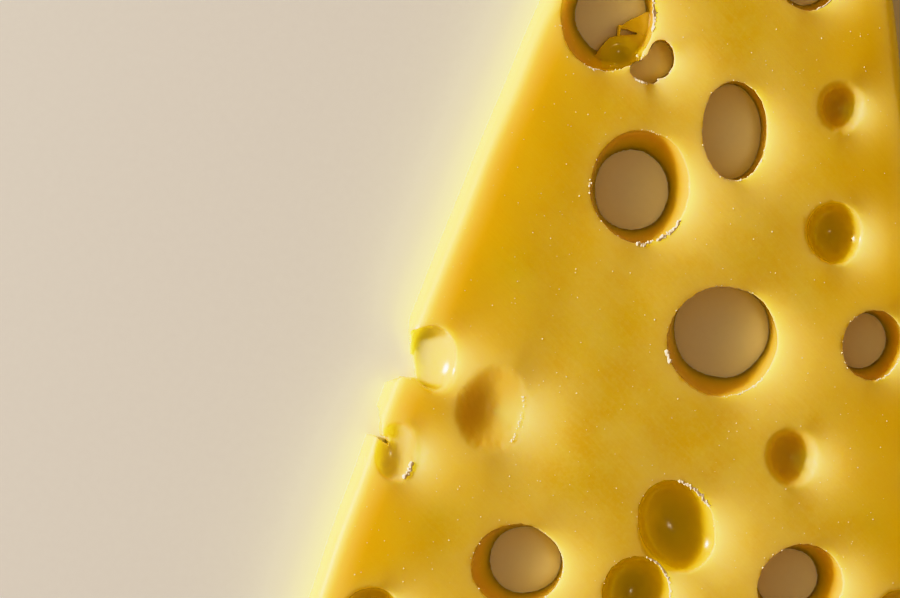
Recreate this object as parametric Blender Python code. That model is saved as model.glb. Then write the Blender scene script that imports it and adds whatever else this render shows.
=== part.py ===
"""A wedge-shaped slice of semi-hard cheese with large round eyes, cut flat off a wedge of a wheel.

The slice lies flat. The origin is the middle of its box, on the surface it rests on. +Y points to
the tip (the middle of the wheel), -Y to the rind end, +X to the right side seen from above.
"""

import math
from typing import NamedTuple

import bmesh
import bpy
from mathutils import Matrix, Vector

MM = 0.001

# The slice as it is cut: a narrow sector of the wheel, from its middle to its rim
WHEEL_RADIUS = 186.8 * MM
TIP_ANGLE = math.radians(30)
THICKNESS = 4.8 * MM
# The sides bulge, and the knife leaned, so that the top face is narrower than the bottom
SIDE_BOW = 4.0 * MM
CUT_INSET = 0.57 * MM
CUT_SKEW = 0.28 * MM
TIP_RADIUS = 1.5 * MM
RIND_CORNER_RADIUS = 1.6 * MM
TOP_EDGE_ROUND = 0.30 * MM
BOTTOM_EDGE_ROUND = 0.20 * MM

# How finely the outline and the eyes are drawn
SIDE_STEPS = 12
RIND_STEPS = 14
CORNER_STEPS = 4
ROUND_STEPS = 2
EYE_SIDE_LENGTH = 1.2 * MM
EYE_FEWEST_SIDES = 12
EYE_MOST_SIDES = 36

# The bulging sides meet at a wider angle than the sector's, and rounding the tip shortens the slice
BULGE_ANGLE = math.atan(4 * SIDE_BOW * (1 - 1 / SIDE_STEPS) / WHEEL_RADIUS)
TIP_LOSS = TIP_RADIUS / math.sin(TIP_ANGLE / 2 + BULGE_ANGLE) - TIP_RADIUS
LENGTH = WHEEL_RADIUS - TIP_LOSS


class Eye(NamedTuple):
    """One gas bubble that the knife cut open: a leaning ellipsoid, in millimetres and degrees."""

    x: float  # middle of the bubble's axis where it crosses the top face
    y: float
    width: float  # widest, across the slice
    length: float  # widest, along the slice
    height: float  # from its roof to its floor
    middle: float  # height of its middle above the surface the slice rests on
    turn: float = 0.0  # of the plan, anticlockwise
    lean_x: float = 0.0  # how far its axis moves on its way down through the slice
    lean_y: float = 0.0


EYES = {
    # The large eye with a smaller bubble in its wall, and the kidney-shaped hole beside it
    "great": Eye(-17.2, 11.0, 13.7, 15.6, 14.4, 4.9, 8, 1.4, 0.6),
    "great_wall_bubble": Eye(-14.0, 6.4, 6.2, 5.0, 4.6, 3.0),
    "kidney_upper": Eye(-8.7, 6.1, 3.9, 5.6, 12.0, 2.5, 8, 0.9, 0.5),
    "kidney_middle": Eye(-9.9, 5.0, 3.3, 5.4, 12.0, 2.5, -38, 0.9, 0.5),
    "kidney_lower": Eye(-10.7, 3.8, 4.6, 3.2, 12.0, 2.5, -12, 0.9, 0.5),
    # Holes right through the slice
    "open_centre": Eye(-8.8, -12.2, 14.6, 15.9, 14.0, 4.9, 8, -0.5, -0.3),
    "open_right": Eye(3.4, -2.3, 9.9, 14.8, 13.0, 2.6, 8, 0.3, 0.2),
    "open_lower_right": Eye(6.0, -32.2, 16.1, 15.7, 15.6, 4.0, 8, 0.8, 1.8),
    "open_bottom": Eye(-18.7, -67.6, 12.9, 11.7, 12.8, 3.9, 8, 2.0, 0.7),
    # Eyes that the left side cuts through, and the breaks in its edge beside them
    "left_upper_pit": Eye(-34.4, -40.2, 6.8, 9.2, 5.4, 3.6, 10, -2.4, -0.5),
    "left_upper_break": Eye(-38.7, -41.6, 2.6, 3.4, 9.0, 3.2, -20),
    "left_lower_pit": Eye(-37.7, -54.1, 6.7, 8.3, 3.4, 5.0, 8, -1.2, 0.3),
    "left_lower_break": Eye(-40.6, -51.4, 3.0, 2.4, 11.0, 2.4, -35),
    # Pits in the top face
    "soft_pit": Eye(-25.1, -46.4, 11.0, 12.8, 6.0, 6.55, 8),
    "egg_pit": Eye(3.4, -58.9, 10.8, 13.6, 7.8, 4.9, 38),
    "deep_pit": Eye(-0.9, -69.2, 10.1, 10.5, 8.8, 4.9, 8),
    "corner_pit": Eye(-38.2, -76.5, 7.9, 6.2, 6.6, 4.7, 8),
    # Towards the tip
    "tip_pit": Eye(0.6, 66.0, 5.4, 6.2, 6.0, 4.9),
    "tip_hole": Eye(-3.4, 49.5, 6.6, 7.4, 9.0, 2.2, 15),
    "tip_bowl": Eye(5.6, 39.0, 8.4, 9.2, 8.4, 5.2, -10),
    "tip_dimple": Eye(-8.5, 33.5, 5.0, 5.6, 5.2, 5.0, 20),
    "tip_edge_dent": Eye(-22.3, 28.0, 5.0, 6.2, 5.2, 3.2, 15),
    "upper_hole": Eye(10.8, 21.5, 9.6, 10.4, 11.5, 4.4, -12, 0.8, -0.6),
    # The right half and the rind end
    "right_dimple": Eye(18.4, 3.5, 5.6, 6.2, 5.6, 5.1, -20),
    "right_bowl": Eye(20.0, -14.5, 8.4, 9.0, 7.4, 5.2, 25),
    "right_hole": Eye(28.0, -29.5, 9.4, 10.2, 11.0, 3.4, -15, -0.8, 0.5),
    "right_soft_pit": Eye(18.6, -47.0, 6.4, 7.2, 5.6, 5.2, 30),
    "right_edge_pit": Eye(38.6, -46.5, 6.8, 8.4, 6.0, 2.8, -15),
    "rind_hole": Eye(22.5, -65.0, 12.8, 11.8, 13.0, 4.6, 20, -1.2, 0.8),
    "rind_pit": Eye(37.0, -67.0, 6.2, 6.8, 6.4, 4.9, -20),
    "rind_dimple": Eye(11.5, -79.0, 5.2, 4.6, 5.4, 5.0),
    "rind_small_hole": Eye(32.0, -78.5, 5.2, 4.8, 8.0, 2.4, 40),
    "rind_bowl": Eye(-23.5, -80.0, 6.2, 5.6, 6.6, 4.9, 15),
    # Pits in the underside
    "under_left": Eye(-25.0, -27.0, 9.6, 10.2, 7.0, -0.6, 20),
    "under_middle": Eye(-13.0, -33.5, 6.8, 7.4, 6.0, -0.4),
    "under_right": Eye(16.5, -24.0, 6.0, 6.6, 5.0, -0.3, 30),
    "under_lower_left": Eye(-30.0, -62.5, 7.6, 7.0, 6.6, -0.5, 10),
    "under_upper": Eye(-1.0, 27.0, 6.4, 7.0, 6.0, -0.4, -20),
    "under_lower_right": Eye(31.5, -55.5, 7.0, 7.6, 6.4, -0.4, 15),
}

CHEESE_COLOUR = (0.78, 0.52, 0.12, 1.0)
CHEESE_ROUGHNESS = 0.42


def clear_scene():
    """Removes every object that the scene holds."""
    for obj in list(bpy.data.objects):
        bpy.data.objects.remove(obj, do_unlink=True)


def wheel_middle():
    """The point that the two long sides run to, a little beyond the blunt tip."""
    return Vector((0.0, LENGTH / 2 + TIP_LOSS))


def side_points(side):
    """One long side of the bottom face, from the wheel's middle to the rind; side is -1 or 1."""
    half = TIP_ANGLE / 2
    along = Vector((side * math.sin(half), -math.cos(half)))
    outward = Vector((side * math.cos(half), math.sin(half)))
    shares = [i / SIDE_STEPS for i in range(SIDE_STEPS + 1)]
    return [
        wheel_middle() + along * WHEEL_RADIUS * s + outward * SIDE_BOW * 4 * s * (1 - s)
        for s in shares
    ]


def rind_points():
    """The outer end: an arc about the wheel's middle, from the left corner to the right one."""
    angles = [TIP_ANGLE * (i / RIND_STEPS - 0.5) for i in range(RIND_STEPS + 1)]
    return [wheel_middle() + Vector((math.sin(a), -math.cos(a))) * WHEEL_RADIUS for a in angles]


def round_corner(before, corner, after, radius):
    """An arc of the radius that touches both edges of a corner, from the first edge to the second."""
    back = (before - corner).normalized()
    ahead = (after - corner).normalized()
    half = back.angle(ahead) / 2
    bisector = (back + ahead).normalized()
    centre = corner + bisector * radius / math.sin(half)
    start = corner + back * radius / math.tan(half) - centre
    sweep = math.pi - 2 * half
    found = []
    for i in range(CORNER_STEPS + 1):
        turned = start.copy()
        turned.rotate(Matrix.Rotation(sweep * i / CORNER_STEPS, 2))
        found.append(centre + turned)
    return found


def bottom_outline():
    """The bottom face's outline, anticlockwise seen from above, starting at the tip."""
    left = side_points(-1)
    right = side_points(1)
    rind = rind_points()
    return (
        round_corner(right[1], left[0], left[1], TIP_RADIUS)
        + left[1:-1]
        + round_corner(left[-2], left[-1], rind[1], RIND_CORNER_RADIUS)
        + rind[1:-1]
        + round_corner(rind[-2], right[-1], right[-2], RIND_CORNER_RADIUS)
        + right[-2:0:-1]
    )


def outward_normals(outline):
    """The outward direction at each point of an anticlockwise outline."""
    found = []
    for i, _ in enumerate(outline):
        chord = outline[(i + 1) % len(outline)] - outline[i - 1]
        found.append(Vector((chord.y, -chord.x)).normalized())
    return found


def rings():
    """(height, how far in from the leaning side) of each ring of the slab, bottom to top."""
    turns = [math.pi / 2 * i / ROUND_STEPS for i in range(ROUND_STEPS + 1)]
    bottom = [
        (BOTTOM_EDGE_ROUND * (1 - math.sin(a)), BOTTOM_EDGE_ROUND * (1 - math.cos(a)))
        for a in reversed(turns)
    ]
    top = [
        (THICKNESS - TOP_EDGE_ROUND * (1 - math.sin(a)), TOP_EDGE_ROUND * (1 - math.cos(a)))
        for a in turns
    ]
    return bottom + top


def new_object(name, bm):
    """An object that holds a bmesh, linked into the scene."""
    mesh = bpy.data.meshes.new(name)
    bm.to_mesh(mesh)
    bm.free()
    obj = bpy.data.objects.new(name, mesh)
    bpy.context.scene.collection.objects.link(obj)
    return obj


def make_slab():
    """The slice before its eyes are cut: rings of the outline, each moved in as the cut leans."""
    outline = bottom_outline()
    normals = outward_normals(outline)
    bm = bmesh.new()
    loops = []
    for height, rounding in rings():
        share = height / THICKNESS
        shift = Vector((CUT_SKEW * share, 0.0))
        inset = CUT_INSET * share + rounding
        points = [p - n * inset + shift for p, n in zip(outline, normals)]
        loops.append([bm.verts.new((p.x, p.y, height)) for p in points])
    for lower, upper in zip(loops, loops[1:]):
        for i, _ in enumerate(lower):
            j = (i + 1) % len(lower)
            bm.faces.new((lower[i], lower[j], upper[j], upper[i]))
    bm.faces.new(loops[-1])
    bm.faces.new(loops[0][::-1])
    bmesh.ops.recalc_face_normals(bm, faces=bm.faces)
    return new_object("cheese_slice", bm)


def make_eye(name, eye):
    """The ellipsoid of one eye, as a cutter."""
    sides = round(math.pi * max(eye.width, eye.length) * MM / EYE_SIDE_LENGTH)
    sides = min(max(sides, EYE_FEWEST_SIDES), EYE_MOST_SIDES)
    # An odd number of bands leaves no ring of points in the plane of the top face
    bands = sides // 2 // 2 * 2 + 1
    bm = bmesh.new()
    bmesh.ops.create_uvsphere(bm, u_segments=sides, v_segments=bands, radius=0.5)
    size = Matrix.Diagonal((eye.width * MM, eye.length * MM, eye.height * MM, 1.0))
    turn = Matrix.Rotation(math.radians(eye.turn), 4, "Z")
    lean = Matrix.Identity(4)
    lean[0][2] = -eye.lean_x * MM / THICKNESS
    lean[1][2] = -eye.lean_y * MM / THICKNESS
    depth = 1 - eye.middle * MM / THICKNESS
    place = Matrix.Translation(
        (
            (eye.x + eye.lean_x * depth) * MM,
            (eye.y + eye.lean_y * depth) * MM,
            eye.middle * MM,
        )
    )
    bmesh.ops.transform(bm, matrix=place @ lean @ turn @ size, verts=bm.verts)
    for face in bm.faces:
        face.smooth = True
    cutter = new_object("eye_" + name, bm)
    cutter.hide_render = True
    cutter.display_type = "WIRE"
    return cutter


def cheese_material():
    """The golden paste of the cheese."""
    material = bpy.data.materials.new("cheese")
    material.use_nodes = True
    shader = material.node_tree.nodes["Principled BSDF"]
    shader.inputs["Base Color"].default_value = CHEESE_COLOUR
    shader.inputs["Roughness"].default_value = CHEESE_ROUGHNESS
    shader.inputs["Metallic"].default_value = 0.0
    return material


def main():
    """Builds the slice: the slab, less all its eyes."""
    clear_scene()
    slab = make_slab()
    slab.data.materials.append(cheese_material())
    for name, eye in EYES.items():
        cut = slab.modifiers.new(name, "BOOLEAN")
        cut.operation = "DIFFERENCE"
        cut.object = make_eye(name, eye)
        cut.solver = "EXACT"


main()
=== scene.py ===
"""Dresses the wedge-shaped cheese slice and lights it as in a small studio.

The slice's skin is the zero level of one field: a slab with bulging, leaning sides, less the gas
bubbles that the knife cut open. Lengths in names that end in _mm, and all fields of the shapes, are
millimetres. Meshes, the camera and the lights are metres, as Blender has them.
"""

import logging
import math
from dataclasses import dataclass
from enum import Enum

import bpy
import numpy as np
from mathutils import Matrix, Vector


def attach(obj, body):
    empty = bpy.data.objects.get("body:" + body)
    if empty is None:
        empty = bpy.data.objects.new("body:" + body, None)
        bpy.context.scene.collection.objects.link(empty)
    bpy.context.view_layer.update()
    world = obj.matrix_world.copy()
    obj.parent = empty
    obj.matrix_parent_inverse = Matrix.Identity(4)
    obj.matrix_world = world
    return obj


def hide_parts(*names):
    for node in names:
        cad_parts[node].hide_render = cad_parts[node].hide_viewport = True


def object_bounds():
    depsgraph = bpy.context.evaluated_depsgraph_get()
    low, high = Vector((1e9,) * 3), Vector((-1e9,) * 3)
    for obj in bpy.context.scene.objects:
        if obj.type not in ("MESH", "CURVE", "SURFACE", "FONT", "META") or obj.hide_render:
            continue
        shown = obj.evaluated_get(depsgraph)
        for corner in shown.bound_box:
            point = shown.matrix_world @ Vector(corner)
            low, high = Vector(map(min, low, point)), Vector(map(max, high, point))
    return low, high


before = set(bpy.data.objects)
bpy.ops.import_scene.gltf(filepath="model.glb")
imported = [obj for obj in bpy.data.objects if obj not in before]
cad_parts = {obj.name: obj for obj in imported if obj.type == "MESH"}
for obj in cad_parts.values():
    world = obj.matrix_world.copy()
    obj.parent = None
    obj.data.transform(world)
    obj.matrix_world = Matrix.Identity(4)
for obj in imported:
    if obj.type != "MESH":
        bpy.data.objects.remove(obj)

log = logging.getLogger("cheese")

MM = 0.001
NODE = "cheese_slice"
BODY = "root"
CAD_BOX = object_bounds()

Array = np.ndarray
Colour = tuple[float, float, float]


def rounded_max(a: Array, b: Array, radius: float | Array) -> Array:
    """The larger of two distances, with the crease between them rounded.

    Inside the band where both are above -radius, the result is the length of (a + radius,
    b + radius), less radius. That is an arc where the two surfaces are square to each other.

    Args:
        a: distance to the first surface, positive outside.
        b: distance to the second surface.
        radius: how far from the crease the rounding starts.

    Returns:
        The distance to the rounded corner.
    """
    u = np.maximum(a + radius, 0.0)
    v = np.maximum(b + radius, 0.0)
    return np.minimum(np.maximum(a, b), -radius) + np.hypot(u, v)


@dataclass(frozen=True)
class Undulation:
    """A smooth random field: plane waves of mixed directions and lengths, added up."""

    wavelength: float
    amplitude: float
    seed: int
    waves: int = 12
    flat: bool = False

    def __call__(self, points: Array) -> Array:
        """The field at each point.

        Each wave is a sine of the distance along its own direction, over its own length. The sum
        is scaled so that its usual size is the amplitude.

        Args:
            points: n by 3 places in mm.

        Returns:
            n values.
        """
        rng = np.random.default_rng(self.seed)
        ways = rng.normal(size=(self.waves, 3))
        if self.flat:
            ways[:, 2] = 0.0
        ways /= np.linalg.norm(ways, axis=1, keepdims=True)
        lengths = self.wavelength * rng.uniform(0.7, 1.6, self.waves)
        phases = rng.uniform(0.0, 2 * math.pi, self.waves)
        total = np.zeros(len(points))
        for way, length, phase in zip(ways, lengths, phases):
            total += np.sin(points @ way * (2 * math.pi / length) + phase)
        return total * self.amplitude * math.sqrt(2.0 / self.waves)


class Rim(Enum):
    """How the edge of an eye's mouth looks; the value is the radius of its rounding in mm."""

    CRISP = 0.06
    WORN = 0.28
    SOFT = 0.95


@dataclass(frozen=True)
class Eye:
    """One gas bubble that the knife cut open: a leaning, slightly uneven ellipsoid."""

    x: float  # middle of the bubble's axis where it crosses the top face
    y: float
    width: float
    length: float
    height: float  # from its roof to its floor
    middle: float  # height of its middle above the underside
    turn: float = 0.0  # of the plan, anticlockwise, in degrees
    lean_x: float = 0.0  # how far its axis moves on its way down through the slice
    lean_y: float = 0.0
    rim: Rim = Rim.CRISP
    soft_side: float | None = None  # the direction of a softer stretch of rim, in degrees
    waviness: float = 1.5  # how far waves and nicks can move its wall

    def local(self, points: Array, thickness: float) -> Array:
        """The points in the ellipsoid's own axes, where it is the unit ball.

        The lean is undone by a shift that grows with the height, then the turn, then the radii.

        Args:
            points: n by 3 places in mm.
            thickness: the slice's thickness, over which the lean is measured.

        Returns:
            n by 3 places, in units of the ellipsoid's radii.
        """
        shift = (thickness - points[:, 2]) / thickness
        x = points[:, 0] - self.x - self.lean_x * shift
        y = points[:, 1] - self.y - self.lean_y * shift
        c, s = math.cos(math.radians(self.turn)), math.sin(math.radians(self.turn))
        turned = (c * x + s * y, c * y - s * x, points[:, 2] - self.middle)
        return np.stack(turned, axis=1) / self.radii()

    def radii(self) -> Array:
        """The three half widths, in mm."""
        return np.array([self.width, self.length, self.height]) / 2

    def distance(self, points: Array, thickness: float) -> Array:
        """The distance to the ellipsoid, positive outside.

        With p in the unit ball's axes, it is |p| (|p| - 1) / |p / radii|, which is exact on the
        surface and has a slope close to one near it.

        Args:
            points: n by 3 places in mm.
            thickness: the slice's thickness.

        Returns:
            n distances in mm.
        """
        p = self.local(points, thickness)
        size = np.linalg.norm(p, axis=1)
        slope = np.linalg.norm(p / self.radii(), axis=1)
        return size * (size - 1.0) / np.maximum(slope, 1e-9)

    def azimuth(self, points: Array) -> Array:
        """The direction from the mouth's middle to each point, in radians from the slice's +X."""
        return np.arctan2(points[:, 1] - self.y, points[:, 0] - self.x)

    def rim_radius(self, points: Array) -> Array:
        """The radius that the mouth's edge is rounded to, in mm.

        It is the rim's own, and grows to the soft kind's towards the soft side, if there is one.
        """
        own = self.rim.value
        if self.soft_side is None:
            return np.full(len(points), own)
        facing = np.maximum(np.cos(self.azimuth(points) - math.radians(self.soft_side)), 0.0)
        return own + (Rim.SOFT.value - own) * facing**3

    def reach(self) -> float:
        """The farthest in plan that the bubble and its rim get from its middle, in mm."""
        lean = math.hypot(self.lean_x, self.lean_y)
        softest = Rim.SOFT.value if self.soft_side is not None else self.rim.value
        return max(self.width, self.length) / 2 + lean + softest + self.waviness

    def mouth(self, angles: Array, height: float, thickness: float) -> Array:
        """The ring where the bubble crosses a level plane.

        The ring is the ellipse of the plan, shrunk by sqrt(1 - (h / radius)^2), with h the plane's
        height above the bubble's middle.

        Args:
            angles: directions around the ring, in radians, from the slice's +X.
            height: of the plane, in mm.
            thickness: the slice's thickness.

        Returns:
            n by 2 places in mm.
        """
        half_width, half_length, half_height = self.radii()
        shrink = math.sqrt(max(0.0, 1 - ((height - self.middle) / half_height) ** 2))
        turn = math.radians(self.turn)
        x = half_width * shrink * np.cos(angles - turn)
        y = half_length * shrink * np.sin(angles - turn)
        c, s = math.cos(turn), math.sin(turn)
        share = (thickness - height) / thickness
        return np.stack(
            (
                self.x + self.lean_x * share + c * x - s * y,
                self.y + self.lean_y * share + s * x + c * y,
            ),
            axis=1,
        )


EYES: dict[str, Eye] = {
    "great": Eye(-17.2, 11.0, 13.7, 15.6, 14.4, 4.9, 8, 1.4, 0.6),
    "great_wall_bubble": Eye(-14.0, 6.4, 6.2, 5.0, 4.6, 3.0),
    "kidney_upper": Eye(-8.7, 6.1, 3.9, 5.6, 12.0, 2.5, 8, 0.9, 0.5),
    "kidney_middle": Eye(-9.9, 5.0, 3.3, 5.4, 12.0, 2.5, -38, 0.9, 0.5),
    "kidney_lower": Eye(-10.7, 3.8, 4.6, 3.2, 12.0, 2.5, -12, 0.9, 0.5),
    "open_centre": Eye(-8.8, -12.2, 14.6, 15.9, 14.0, 4.9, 8, -0.5, -0.3),
    "open_right": Eye(3.4, -2.3, 9.9, 14.8, 13.0, 2.6, 8, 0.3, 0.2),
    "open_lower_right": Eye(6.0, -32.2, 16.1, 15.7, 15.6, 4.0, 8, 0.8, 1.8),
    "open_bottom": Eye(-18.7, -67.6, 12.9, 11.7, 12.8, 3.9, 8, 2.0, 0.7),
    "left_upper_pit": Eye(-34.4, -40.2, 6.8, 9.2, 5.4, 3.6, 10, -2.4, -0.5, Rim.WORN, -70),
    "left_lower_pit": Eye(-37.7, -54.1, 6.7, 8.3, 3.4, 5.0, 8, -1.2, 0.3, Rim.WORN),
    "soft_pit": Eye(-25.1, -46.4, 11.0, 12.8, 6.0, 6.55, 8, rim=Rim.SOFT),
    "egg_pit": Eye(3.4, -58.9, 10.8, 13.6, 7.8, 4.9, 38, soft_side=-112),
    "deep_pit": Eye(-0.9, -69.2, 10.1, 10.5, 8.4, 4.9, 8),
    "corner_pit": Eye(-38.2, -76.5, 7.9, 6.2, 6.6, 4.7, 8, rim=Rim.WORN),
    "tip_pit": Eye(0.6, 66.0, 5.4, 6.2, 6.0, 4.9, rim=Rim.SOFT),
    "tip_hole": Eye(-3.4, 49.5, 6.6, 7.4, 9.0, 2.2, 15),
    "tip_bowl": Eye(5.6, 39.0, 8.4, 9.2, 8.4, 5.2, -10, rim=Rim.WORN),
    "tip_dimple": Eye(-8.5, 33.5, 5.0, 5.6, 5.2, 5.0, 20, rim=Rim.SOFT),
    "tip_edge_dent": Eye(-22.3, 28.0, 5.0, 6.2, 5.2, 3.2, 15),
    "upper_hole": Eye(10.8, 21.5, 9.6, 10.4, 11.5, 4.4, -12, 0.8, -0.6),
    "right_dimple": Eye(18.4, 3.5, 5.6, 6.2, 5.6, 5.1, -20, rim=Rim.SOFT),
    "right_bowl": Eye(20.0, -14.5, 8.4, 9.0, 7.4, 5.2, 25, rim=Rim.WORN),
    "right_hole": Eye(28.0, -29.5, 9.4, 10.2, 11.0, 3.4, -15, -0.8, 0.5),
    "right_soft_pit": Eye(18.6, -47.0, 6.4, 7.2, 5.6, 5.2, 30, rim=Rim.SOFT),
    "right_edge_pit": Eye(38.6, -46.5, 6.8, 8.4, 6.0, 2.8, -15),
    "rind_hole": Eye(22.5, -65.0, 12.8, 11.8, 13.0, 4.6, 20, -1.2, 0.8),
    "rind_pit": Eye(37.0, -67.0, 6.2, 6.8, 6.4, 4.9, -20, rim=Rim.WORN),
    "rind_dimple": Eye(11.5, -79.0, 5.2, 4.6, 5.4, 5.0, rim=Rim.SOFT),
    "rind_small_hole": Eye(32.0, -78.5, 5.2, 4.8, 8.0, 2.4, 40),
    "rind_bowl": Eye(-23.5, -80.0, 6.2, 5.6, 6.6, 4.9, 15, rim=Rim.WORN),
    "under_left": Eye(-25.0, -27.0, 9.6, 10.2, 7.0, -0.6, 20),
    "under_middle": Eye(-13.0, -33.5, 6.8, 7.4, 6.0, -0.4),
    "under_right": Eye(16.5, -24.0, 6.0, 6.6, 5.0, -0.3, 30),
    "under_lower_left": Eye(-30.0, -62.5, 7.6, 7.0, 6.6, -0.5, 10),
    "under_upper": Eye(-1.0, 27.0, 6.4, 7.0, 6.0, -0.4, -20),
    "under_lower_right": Eye(31.5, -55.5, 7.0, 7.6, 6.4, -0.4, 15),
}


@dataclass(frozen=True)
class Prism:
    """An upright prism over a convex outline in plan, whose corners run anticlockwise."""

    corners: tuple[tuple[float, float], ...]
    ragged: Undulation = Undulation(1.3, 0.05, 16, waves=10)

    def distance(self, points: Array) -> Array:
        """The distance beyond the prism, positive outside.

        It is the largest of the distances beyond the outline's straight lines.

        Args:
            points: n by 3 places in mm.

        Returns:
            n distances in mm.
        """
        worst = np.full(len(points), -np.inf)
        for (ax, ay), (bx, by) in zip(self.corners, self.corners[1:] + self.corners[:1]):
            run = math.hypot(bx - ax, by - ay)
            outward = ((by - ay) / run, (ax - bx) / run)
            beyond = (points[:, 0] - ax) * outward[0] + (points[:, 1] - ay) * outward[1]
            worst = np.maximum(worst, beyond)
        return worst + self.ragged(points)


# Bites out of the slice's left side: two at each of the eyes that it cuts through
NOTCHES: tuple[Prism, ...] = (
    Prism(
        ((-43, -35.3), (-43, -45), (-40.4, -44.8), (-38.5, -43.9), (-37.45, -40.25), (-38.4, -35.3))
    ),
    Prism(((-38.6, -43.75), (-36.2, -43.45), (-36.95, -40.45), (-37.45, -40.25), (-39.5, -41.5))),
    Prism(((-43.5, -48.2), (-43.5, -52.4), (-39.95, -52.4), (-40.75, -48.2))),
    Prism(((-41.6, -52.15), (-38.75, -53.55), (-39.25, -52.2))),
)


@dataclass(frozen=True)
class Web:
    """Cheese that stands in an eye's lower opening, where a second bubble stopped short of it."""

    prisms: tuple[Prism, ...]
    top: float = 1.0
    rounding: float = 0.08

    def distance(self, points: Array) -> Array:
        """The distance beyond the web: the nearest of its prisms, cut level at its top."""
        nearest = np.minimum.reduce([prism.distance(points) for prism in self.prisms])
        return rounded_max(nearest, points[:, 2] - self.top, self.rounding)


WEB_FLOOR = (
    *((-17.7, 5.0), (-17.0, 3.0), (-8.0, 3.0), (-8.0, 9.3)),
    *((-11.3, 9.45), (-14.2, 9.0), (-15.65, 8.4), (-16.75, 6.85)),
)
WEB_BAND = ((-14.4, 10.0), (-11.2, 9.6), (-8.0, 9.3), (-8.0, 13.0), (-10.9, 12.75), (-13.5, 11.1))
WEBS: dict[str, Web] = {
    "great": Web(
        (
            Prism(WEB_FLOOR),
            Prism(WEB_BAND),
            Prism(((-14.6, 8.7), (-14.2, 8.7), (-14.2, 10.3), (-14.6, 10.3))),
        )
    ),
}


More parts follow.
